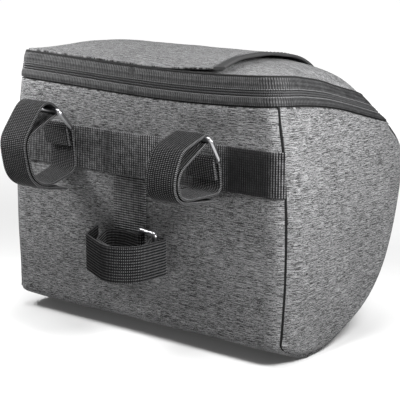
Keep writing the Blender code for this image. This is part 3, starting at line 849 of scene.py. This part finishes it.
def rounded_side(y_back, y_front, back, front, back_steps):
    """Depths along a side that ends in two round corners, and how far it is drawn in at each."""
    turns = [pi / 2 * k / back_steps for k in range(back_steps)]
    spots = [(y_back + back * (1 - cos(turn)), back * (1 - sin(turn))) for turn in turns]
    span = y_front - front - y_back - back
    spots += [(y_back + back + span * k / SIDE_STEPS, 0.0) for k in range(SIDE_STEPS + 1)]
    turns = [pi / 2 * k / FRONT_CORNER_STEPS for k in range(1, FRONT_CORNER_STEPS + 1)]
    return spots + [(y_front - front * (1 - sin(turn)), front * (1 - cos(turn))) for turn in turns]


def rim_loop(level, inset):
    """Plan of the zip band at a level from 0, its lower edge, to 1, its upper edge."""
    back_radius = OUTLINE[0].edge * CORNER_RADIUS * (1 - level) + LID_BACK_RADIUS * level - inset
    front_radius = CORNER_RADIUS * (1 - level) + LID_FRONT_RADIUS * level - inset
    y_back = LID_BACK_LEAN * level + inset
    y_front = ZIP_FRONT_DEPTH * (1 - level) + LID_FRONT_DEPTH * level - inset

    def half_at(y):
        return half_width(brim_height(y, 0)) * (1 - level) + LID_WIDTH / 2 * level - inset

    quarter = [((half_at(0) - back_radius) * k / 16, y_back) for k in range(17)]
    for y, drawn_in in rounded_side(y_back, y_front, back_radius, front_radius, 12)[1:]:
        quarter.append((half_at(y) - drawn_in, y))
    quarter += [((half_at(y_front) - front_radius) * (1 - k / 16), y_front) for k in range(1, 17)]
    loop = quarter + [(-x, y) for x, y in quarter[-2:0:-1]]
    return [Vector((x, y, brim_height(y, level) - back_dip(x, y))) for x, y in loop]


def band_mesh(profile):
    """Ring with a cross-section of (level, inset) points, and distances along and across it."""
    loops = [rim_loop(level, inset) for level, inset in profile]
    rings = [[loop[k] for loop in loops] for k in range(len(loops[0]))]
    across = [level * BAND_HEIGHT for level, inset in profile]
    return sweep_mesh(rings, True, (running_lengths(loops[0]), across))


def ring_path(level, inset, spacing):
    return even_path(rim_loop(level, inset), spacing, closed=True)


def lid_edge_distance(x, y, half):
    return min(half - abs(x), y - LID_BACK_LEAN, LID_FRONT_DEPTH - y)


def lid_height(x, y, half):
    """Height of the crowned lid's outer face, fuller over the pocket."""
    v = clamp((y - LID_BACK_LEAN) / (LID_FRONT_DEPTH - LID_BACK_LEAN))
    fullness = LID_LEFT_FULLNESS if x < 0 else LID_RIGHT_FULLNESS
    right = clamp(x / POCKET_EDGE) ** 2
    crown = max(sin(pi * v ** (2.1 - 0.2 * right)), 0.0) ** (0.7 + 0.3 * v ** 4)
    crown *= (1 - min(abs(x / half), 1.0) ** fullness) * (1 - LID_RIGHT_DROP * right)
    return brim_height(y, 1) - back_dip(x, y) + LID_CROWN * crown


def lid_lines():
    """Depth and half width of the lid's lines, close together at its ends."""
    inset = TAPE + GAP
    side = rounded_side(LID_BACK_LEAN + inset, LID_FRONT_DEPTH - inset, LID_BACK_RADIUS - inset,
                        LID_FRONT_RADIUS - inset, 11)
    return [(y, LID_WIDTH / 2 - inset - drawn_in) for y, drawn_in in side]


def lid_grid():
    """Points of the lid's outer face, with lines along the pocket's hem and its open edge."""
    hem = POCKET_EDGE - BINDING_WIDTH
    grid = []
    for y, side in lid_lines():
        xs = [-side + (hem + side) * (0.35 * k / LID_HEM_COLUMN + 0.65 * (1 - cos(pi / 2 * k / LID_HEM_COLUMN)))
              for k in range(LID_HEM_COLUMN)]
        xs += [hem + BINDING_WIDTH * k / 6 for k in range(7)]
        xs += [POCKET_EDGE + (side - POCKET_EDGE) * sin(pi / 2 * k / 16) for k in range(1, 17)]
        line = []
        for x in xs:
            spot = Vector((x, y, lid_height(x, y, side)))
            distance = max(0.0, lid_edge_distance(x, y, side))
            ease = 1 - exp(-(distance / 0.010) ** 2)
            spot.z += ease * (softly(spot, 0.040, 0.0007, 7.0) + softly(spot, 0.016, 0.0003, 2.0))
            line.append(spot)
        grid.append(line)
    return grid


def pocket_lift(x, y):
    """How far the pocket's outer face stands off the lid, most at its mouth."""
    near = max(0.0, 1 - (POCKET_EDGE - x) / POCKET_REACH)
    v = clamp(y / LID_FRONT_DEPTH)
    cloth = POCKET_CLOTH + (BINDING_TAPE - POCKET_CLOTH) * near
    return 2 * GAP + cloth + POCKET_SLACK * near ** 2 * sin(pi * v ** 0.4)


def moved_out(points, normals, distance):
    return [[spot + normal * distance for spot, normal in zip(*lines)] for lines in zip(points, normals)]


def layer_grids(points, normals, columns, thickness):
    """Outer and inner points of a layer over the lid, between two of its columns."""
    last = len(points) - 1
    skins = []
    for inset in (0.0, thickness):
        grid = []
        for i in [0.4, *range(1, last), last - 0.4]:
            line = []
            for j in columns:
                spot, normal = (between([between(row, j) for row in rows[int(i):int(i) + 2]], i - int(i))
                                for rows in (points, normals))
                line.append(spot + normal.normalized() * (pocket_lift(spot.x, spot.y) - inset))
            grid.append(line)
        skins.append(grid)
    return skins


def belt_path(bends):
    """Points of a strap laid round circles of (centre, radius); a negative radius turns it the other way."""
    touches = []
    for (start, r0), (end, r1) in zip(bends, bends[1:]):
        way = end - start
        side = atan2(way.y, way.x) + acos((r1 - r0) / way.length)
        left = Vector((cos(side), sin(side)))
        touches.append((start - left * r0, end - left * r1))
    path = [touches[0][0]]
    for (centre, radius), (_, arrive), (leave, _) in zip(bends[1:], touches, touches[1:]):
        a, b = arrive - centre, leave - centre
        sweep = (atan2(b.y, b.x) - atan2(a.y, a.x)) % (2 * pi)
        if radius < 0:
            sweep -= 2 * pi
        steps = max(1, round(abs(sweep) / radians(5)))
        for k in range(steps + 1):
            turn = sweep * k / steps
            path.append(centre + Vector((a.x * cos(turn) - a.y * sin(turn),
                                         a.x * sin(turn) + a.y * cos(turn))))
    path.append(touches[-1][1])
    return path


def strap_path(loop):
    """Middle line of a strap, from its sewn end round the ring and the loop to its free end."""
    run = GAP + WEBBING + GAP + STRAP / 2
    fold = RING_WIRE / 2 + GAP + STRAP / 2

    def spot(out, along):
        return Vector((run + out * loop.depth * LOOP_DEPTH, along * loop.rise * LOOP_RISE))

    near, far = spot(*loop.near_leg), spot(*loop.far_leg)
    heel_along, heel_bend = loop.heel
    heel = heel_bend * STRAP_WIDTH
    bends = [(Vector((near.x - fold + STRAP + 2 * GAP, near.y - STRAP_WIDTH / 2)), 0.0), (near, fold),
             (Vector((run + heel, heel_along * loop.rise * LOOP_RISE)), heel)]
    bends += [(spot(row.out, row.along), row.bend * STRAP_WIDTH) for row in loop.inner]
    bends += [(far, -fold)]
    bends += [(spot(row.out, row.along), -row.bend * STRAP_WIDTH) for row in loop.outer]
    bends += [(spot(*loop.tip), 0.0)]
    return belt_path(bends), near, far


def strap_sway(share):
    """How far a strap drifts sideways at a share of its length."""
    return 0.0009 * sin(2 * pi * share) + 0.0012 * max(0.0, share - 0.6)


def smooth_path(points, spacing, rounds, fixed=(), reach=0.0):
    """Even points along a path, eased towards their neighbours except near the fixed spots."""
    spots = even_path(points, spacing)
    freedom = []
    for spot in spots:
        near = min([(spot - other).length for other in fixed], default=1.0)
        freedom.append(clamp(near / reach - 0.5, 0.04) if reach else 1.0)
    for _ in range(rounds):
        middle = [q.lerp((p + r) / 2, 0.5 * free)
                  for p, q, r, free in zip(spots, spots[1:], spots[2:], freedom[1:])]
        spots = [spots[0]] + middle + [spots[-1]]
    return spots


def loop_place(loop, across, out, along):
    """A strap's own measures as a point of the bag; the stem strap lies on its side."""
    if loop.turned:
        return Vector((loop.x + along, -out, loop.z - across))
    return Vector((loop.x + across, -out, loop.z + along))


class BAG_OT_panels(bpy.types.Operator):
    """Padded back, front and side panels"""
    bl_idname = "handlebar_bag.panels"
    bl_label = "Panels"

    def execute(self, context):
        cloth = context.scene.bag_cloth
        heather = heather_finish("heather_panels", cloth)
        for name, first, last in (("back", 0, BASE_SEAM_ROW), ("front", BASE_SEAM_ROW, LAST_ROW)):
            grids = wrap_grids(first, last, cloth)
            cloth_piece(name + "_cloth", grids, wrap_yarn(grids[0]), heather, name + "_panel")
        for name, side in SIDES:
            grids = side_grids(side, cloth)
            yarn = [[(spot.y, spot.z) for spot in line] for line in grids[0]]
            cloth_piece("side_cloth_" + name, grids, yarn, heather, "side_panel_" + name)
        return {"FINISHED"}


class BAG_OT_seams(bpy.types.Operator):
    """Dark seam allowances that close the grooves between the panels"""
    bl_idname = "handlebar_bag.seams"
    bl_label = "Seams"

    def execute(self, context):
        dark = plain_weave_finish("seam_black", (0.003, 0.003, 0.003), 0.9, 1.3)
        for name, side in SIDES:
            path = [edge_point(row, SEAM_ANGLE, 0.0017) * Vector((side, 1, 1)) for row in FINE_OUTLINE]
            for end in (path[0], path[-1]):
                end.z = brim_height(end.y, 0)
            tube_piece("seam_" + name, even_path(path, 0.004), [0.0009], 8, False, dark)
        row = FINE_OUTLINE[BASE_SEAM_ROW * 6]
        half = edge_point(row, SEAM_ANGLE, 0.002).x
        path = [Vector((half * share, row[0].x, WALL / 2 + GAP)) for share in (-1.0, -0.5, 0.0, 0.5, 1.0)]
        tube_piece("seam_base", path, [0.0010], 8, False, dark)
        return {"FINISHED"}


class BAG_OT_zip(bpy.types.Operator):
    """Ribbed zip band with its coil, piping and slider"""
    bl_idname = "handlebar_bag.zip"
    bl_label = "Zip"

    def execute(self, context):
        trim = context.scene.bag_trim
        band = ribbed_finish("band_ribs", trim.band, trim.thread, 0.0016, 0.0030, 0.28, 0.55)
        coil_black = plain_weave_finish("coil_black", (0.022, 0.022, 0.0225), 0.45, 1.5)
        thread = plain_weave_finish("band_thread", (0.07, 0.07, 0.071), 0.7, 1.4)
        dark = plain_weave_finish("band_backing", (0.008, 0.008, 0.008), 0.95, 1.2)
        metal = metal_finish("slider_metal", trim.metal)
        for name, low, high in (("lower", 0.050, 0.36), ("upper", 0.56, 0.985)):
            middle = (low + high) / 2
            profile = [(low, TAPE), (low, 0.0006), (low + 0.015, 0.0), (middle, -0.0004), (high - 0.02, 0.0),
                       (high, 0.0006), (high, TAPE)]
            add_piece("zip_band_" + name, band_mesh(profile), band, ["zip_tape_" + name], 50.0)
        for name, low, high, outer, inner, finish in (("backing", -0.12, 0.92, 0.0017, 0.0021, dark),
                                                      ("floor", 0.33, 0.59, 0.0008, 0.0014, band)):
            profile = [(low, inner), (low, outer), (high, outer), (high, inner)]
            add_piece("zip_" + name, band_mesh(profile), finish)
        coil, stitch = (0.00088, 0.00070, 0.00045, 0.00070), (0.00042, 0.00040, 0.00026, 0.00012)
        for kind, levels, inset, pitch, radii, finish in (
                ("coil", (0.415, 0.500), 0.0006, trim.tooth, coil, coil_black),
                ("stitches", (0.335, 0.585), 0.0001, BAND_STITCH, stitch, thread)):
            for name, level in zip(("low", "high"), levels):
                path = ring_path(level, inset, pitch / 4)
                tube_piece(f"zip_{kind}_{name}", path[:len(path) // 4 * 4], radii, 6, True, finish,
                           smooth_angle=80.0)
        tube_piece("zip_piping", ring_path(1.0, 0.0008, 0.003), [0.0007], 10, True, dark)
        self.make_slider(metal)
        return {"FINISHED"}

    def make_slider(self, metal):
        low, high = rim_loop(0.30, 0.0), rim_loop(0.60, 0.0)
        front = min(range(len(low)), key=lambda k: (-round(low[k].y, 6), abs(low[k].x)))
        middle = low[front].lerp(high[front], 0.5)
        up = (high[front] - low[front]).normalized()
        side = Vector((1.0, 0.0, 0.0))
        out = side.cross(up).normalized()
        out = out if out.y > 0 else -out
        mesh = bmesh.new()

        def block(length, height, depth, lift, pinch, at=0.0):
            rows = []
            for share, narrow in ((-0.5, pinch), (-0.25, 1.0), (0.25, 1.0), (0.5, pinch)):
                centre = place(middle + out * lift + side * (length * share + at))
                rows.append([mesh.verts.new(centre + up * (height * narrow * a) + out * (depth * b))
                             for a, b in ((-0.5, -0.4), (-0.5, 0.3), (-0.38, 0.5), (0.38, 0.5),
                                          (0.5, 0.3), (0.5, -0.4))])
            loft(mesh, rows)

        block(0.0115, 0.0080, 0.0024, 0.0022, 0.75)
        block(0.0070, 0.0028, 0.0018, 0.0040, 0.6)
        block(0.0200, 0.0042, 0.0011, 0.0046, 0.55, 0.0125)
        add_piece("slider_and_pull", mesh, metal, ["zip_slider"], 35.0)


class BAG_OT_lid(bpy.types.Operator):
    """Crowned lid, its open pocket, the binding and its stitches"""
    bl_idname = "handlebar_bag.lid"
    bl_label = "Lid"

    def execute(self, context):
        cloth, trim = context.scene.bag_cloth, context.scene.bag_trim
        heather = heather_finish("heather_lid", cloth)
        binding = plain_weave_finish("binding_grey", trim.binding, 0.55, 1.15)
        thread = plain_weave_finish("binding_thread", (0.05, 0.05, 0.052), 0.7, 1.3)
        points = lid_grid()
        normals = surface_normals(points)
        grids = (points, moved_out(points, normals, -WALL))
        yarn = [[(spot.x, spot.y) for spot in line] for line in points]
        cloth_piece("lid_cloth", grids, yarn, heather, "lid_panel")
        columns = [0.4, *range(1, LID_HEM_COLUMN), LID_HEM_COLUMN + 0.5]
        grids = layer_grids(points, normals, columns, POCKET_CLOTH)
        yarn = [[(spot.x, spot.y + LID_WIDTH) for spot in line] for line in grids[0]]
        cloth_piece("pocket_cloth", grids, yarn, heather, "lid_pocket")
        grids = layer_grids(moved_out(points, normals, BINDING_LIFT), normals,
                            [LID_HEM_COLUMN + k for k in range(7)], BINDING_TAPE + BINDING_LIFT)
        edging = add_piece("pocket_edging", shell_mesh(*grids), binding, ["pocket_binding"],
                           180.0)
        round_off(edging, 2)
        stitch_row("binding_stitches", [line[1] for line in grids[0]], thread)
        return {"FINISHED"}


class BAG_OT_webbing(bpy.types.Operator):
    """Crosswise webbing and the upright one under it"""
    bl_idname = "handlebar_bag.webbing"
    bl_label = "Webbing"

    def execute(self, context):
        trim = context.scene.bag_trim
        edge = OUTLINE[1].edge * CORNER_RADIUS
        flat = half_width(WEBBING_HEIGHT) - edge
        low = GAP + WEBBING / 2
        high = low + WEBBING + GAP
        step = WEBBING_WIDTH / 2 + GAP
        plan = [(UPRIGHT_OFFSET + side * (step + ramp), out)
                for side, ramp, out in ((-1, WEBBING_RAMP, low), (-1, 0.0, high), (1, 0.0, high),
                                        (1, WEBBING_RAMP, low))]
        turn_in = [(flat + (edge + low) * sin(turn), (edge + low) * cos(turn) - edge)
                   for turn in (SEAM_ANGLE * k / 12 for k in range(13))]
        plan = [(-x, out) for x, out in reversed(turn_in)] + plan + turn_in
        level = smooth_path([Vector((x, -out, WEBBING_HEIGHT)) for x, out in plan], 0.0015, 3)
        top = WEBBING_HEIGHT + WEBBING_WIDTH / 2
        plumb = [Vector((UPRIGHT_OFFSET, -low, z)) for z in (WEBBING_TAIL, top)]
        # The crosswise webbing gets painted shade to the right of the right loop, standing for that loop's
        # shadow
        for name, path, widthways, painted_shade in (("crosswise", level, Vector((0, 0, 1)), WEBBING_PAINTED_SHADE),
                                              ("upright", plumb, Vector((1, 0, 0)), None)):
            finish = ribbed_finish(name + "_ribs", trim.webbing, trim.thread, trim.rib, 0.0016, 1.0, 0.5, painted_shade)
            woven_strip(name + "_webbing", path, widthways, WEBBING_WIDTH, WEBBING, trim.rib, finish,
                        ["webbing_" + name])
        return {"FINISHED"}


class BAG_OT_straps(bpy.types.Operator):
    """Hook-and-loop straps with their wire rings"""
    bl_idname = "handlebar_bag.straps"
    bl_label = "Straps and rings"

    def execute(self, context):
        trim = context.scene.bag_trim
        finish = strap_finish("strap_weave", trim.strap, trim.thread, trim.strap_rib)
        metal = metal_finish("ring_wire", trim.metal)
        for loop in LOOPS:
            plan, near, far = strap_path(loop)
            plan = smooth_path(plan, 0.0006, 60, (near, far), 0.009)
            path = [loop_place(loop, 0.0, spot.x, spot.y) for spot in plan]
            widthways = (loop_place(loop, 1.0, 0.0, 0.0) - loop_place(loop, 0.0, 0.0, 0.0)).normalized()
            woven_strip("strap_loop_" + loop.name, path, widthways, STRAP_WIDTH, STRAP, trim.strap_rib, finish,
                        ["strap_" + loop.name], strap_sway)
            self.make_ring(loop, near, far, metal)
        return {"FINISHED"}

    def make_ring(self, loop, near, far, metal):
        half_high = (far - near).length / 2
        bend = RING_SIDE_ROOM + RING_WIRE / 2
        middle, rise = (near + far) / 2, (far - near).normalized()
        path = []
        for sx, sy, start in ((1, 1, 0), (-1, 1, 1), (-1, -1, 2), (1, -1, 3)):
            for k in range(9):
                turn = (start + k / 8) * pi / 2
                across = sx * STRAP_WIDTH / 2 + bend * cos(turn)
                spot = middle + rise * (sy * (half_high - bend) + bend * sin(turn))
                path.append(loop_place(loop, across, spot.x, spot.y))
        tube_piece("wire_ring_" + loop.name, path, [RING_WIRE / 2 + GAP], 14, True, metal,
                   ["ring_" + loop.name], 60.0)


class BAG_OT_stage(bpy.types.Operator):
    """Floor, soft lights and camera"""
    bl_idname = "handlebar_bag.stage"
    bl_label = "Stage"

    def execute(self, context):
        stage = context.scene.bag_stage
        scene = context.scene
        finish = Finish("pale_floor", 0.9)
        haze = finish.grain((0.4, 0.4, 0.4), 2.0)
        finish.paint(0.5 + haze * 0.3, [part * 0.985 for part in stage.floor], stage.floor)
        reach = finish.node("ShaderNodeVectorMath", {"operation": "LENGTH"}, {0: finish.place()})
        far = Value(finish, reach.outputs["Value"]).between(0.25, 1.2)
        near_glow, far_glow = ([glow] * 3 for glow in (stage.floor_glow, stage.far_glow))
        finish.feed(finish.shader.inputs["Emission Color"], finish.blend(far, near_glow, far_glow))
        finish.shader.inputs["Emission Strength"].default_value = 1.0
        mesh = bmesh.new()
        bmesh.ops.create_grid(mesh, x_segments=2, y_segments=2, size=16.0)
        data = bpy.data.meshes.new("floor")
        mesh.to_mesh(data)
        mesh.free()
        data.materials.append(finish.material)
        floor = add_object("floor", data)
        floor.location.z = -0.0002
        world = bpy.data.worlds.new("studio")
        world.use_nodes = True
        sky = world.node_tree.nodes["Background"].inputs
        sky["Color"].default_value = (1.0, 1.0, 1.0, 1.0)
        sky["Strength"].default_value = stage.sky
        scene.world = world
        scene.view_settings.view_transform = "Standard"
        for name, (size, spot) in LAMPS.items():
            light = bpy.data.lights.new(name + "_light", "AREA")
            light.energy = getattr(stage, name + "_power")
            light.size = size
            lamp = add_object(name + "_light", light)
            lamp.location = spot
            lamp.visible_camera = False
            lamp.rotation_euler = (LAMP_AIM - Vector(spot)).to_track_quat("-Z", "Y").to_euler()
        camera = bpy.data.cameras.new("camera")
        camera.lens = stage.lens
        camera.sensor_width = 36.0
        camera.clip_end = 20.0
        viewer = add_object("camera", camera)
        yaw, pitch, roll = (radians(turn) for turn in CAMERA_TURNS)
        viewer.matrix_world = (Matrix.Translation(CAMERA_SPOT) @ Matrix.Rotation(yaw, 4, "Z")
                               @ Matrix.Rotation(pi / 2 - pitch, 4, "X") @ Matrix.Rotation(roll, 4, "Z"))
        scene.camera = viewer
        return {"FINISHED"}


OPERATORS = (BAG_OT_stage, BAG_OT_panels, BAG_OT_seams, BAG_OT_zip, BAG_OT_lid, BAG_OT_webbing, BAG_OT_straps)


class BAG_PT_pieces(bpy.types.Panel):
    """Lists the pieces of the bag"""
    bl_idname = "BAG_PT_pieces"
    bl_label = "Handlebar bag"
    bl_space_type = "VIEW_3D"
    bl_region_type = "UI"
    bl_category = "Handlebar bag"

    def draw(self, context):
        for operator in OPERATORS:
            self.layout.operator(operator.bl_idname)
        for settings in (context.scene.bag_cloth, context.scene.bag_trim, context.scene.bag_stage):
            for name in settings.__annotations__:
                self.layout.prop(settings, name)


SETTINGS = (("bag_cloth", ClothSettings), ("bag_trim", TrimSettings), ("bag_stage", StageSettings))


def register():
    for name, settings in SETTINGS:
        bpy.utils.register_class(settings)
        setattr(bpy.types.Scene, name, PointerProperty(type=settings))
    for operator in OPERATORS:
        bpy.utils.register_class(operator)
    bpy.utils.register_class(BAG_PT_pieces)


def unregister():
    bpy.utils.unregister_class(BAG_PT_pieces)
    for operator in reversed(OPERATORS):
        bpy.utils.unregister_class(operator)
    for name, settings in SETTINGS:
        delattr(bpy.types.Scene, name)
        bpy.utils.unregister_class(settings)


def main():
    register()
    bpy.ops.handlebar_bag.stage()
    bpy.ops.handlebar_bag.panels()
    bpy.ops.handlebar_bag.seams()
    bpy.ops.handlebar_bag.zip()
    bpy.ops.handlebar_bag.lid()
    bpy.ops.handlebar_bag.webbing()
    bpy.ops.handlebar_bag.straps()
    bpy.context.view_layer.update()


if __name__ == "__main__":
    main()
